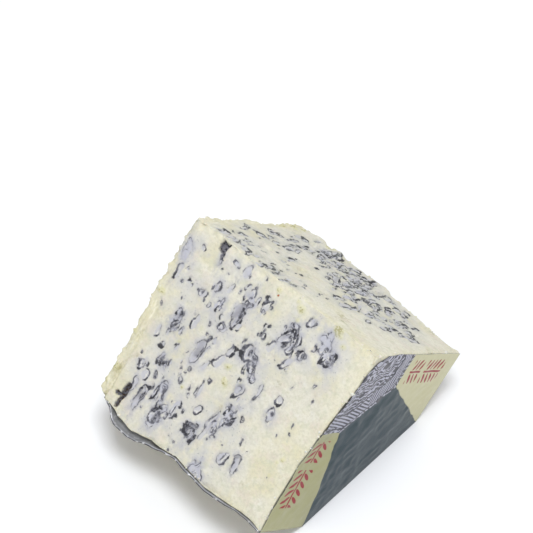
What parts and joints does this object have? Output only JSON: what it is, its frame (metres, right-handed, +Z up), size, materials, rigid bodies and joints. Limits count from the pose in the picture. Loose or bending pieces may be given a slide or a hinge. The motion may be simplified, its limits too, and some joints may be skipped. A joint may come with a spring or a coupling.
{
  "type": "blue cheese wedge",
  "caption": "Thick wedge of soft blue-veined cheese cut from the middle of an eight-sided drum, lying on its foil-covered rim side.",
  "frame": {"origin": "the surface that the wedge's flat rim side rests on, straight below the middle of the ridge", "axes": "+X along the ridge towards the labelled end, -Y the cut face with the open veins, +Z up"},
  "size_m": [0.094, 0.1236, 0.0846],
  "materials": {
    "cheese": "moist cream paste with blue-grey veins, satin",
    "foil": "printed and creased foil, satin"
  },
  "bodies": {
    "root": {"cheese": "cheese", "foil": "foil"}
  },
  "joints": []
}
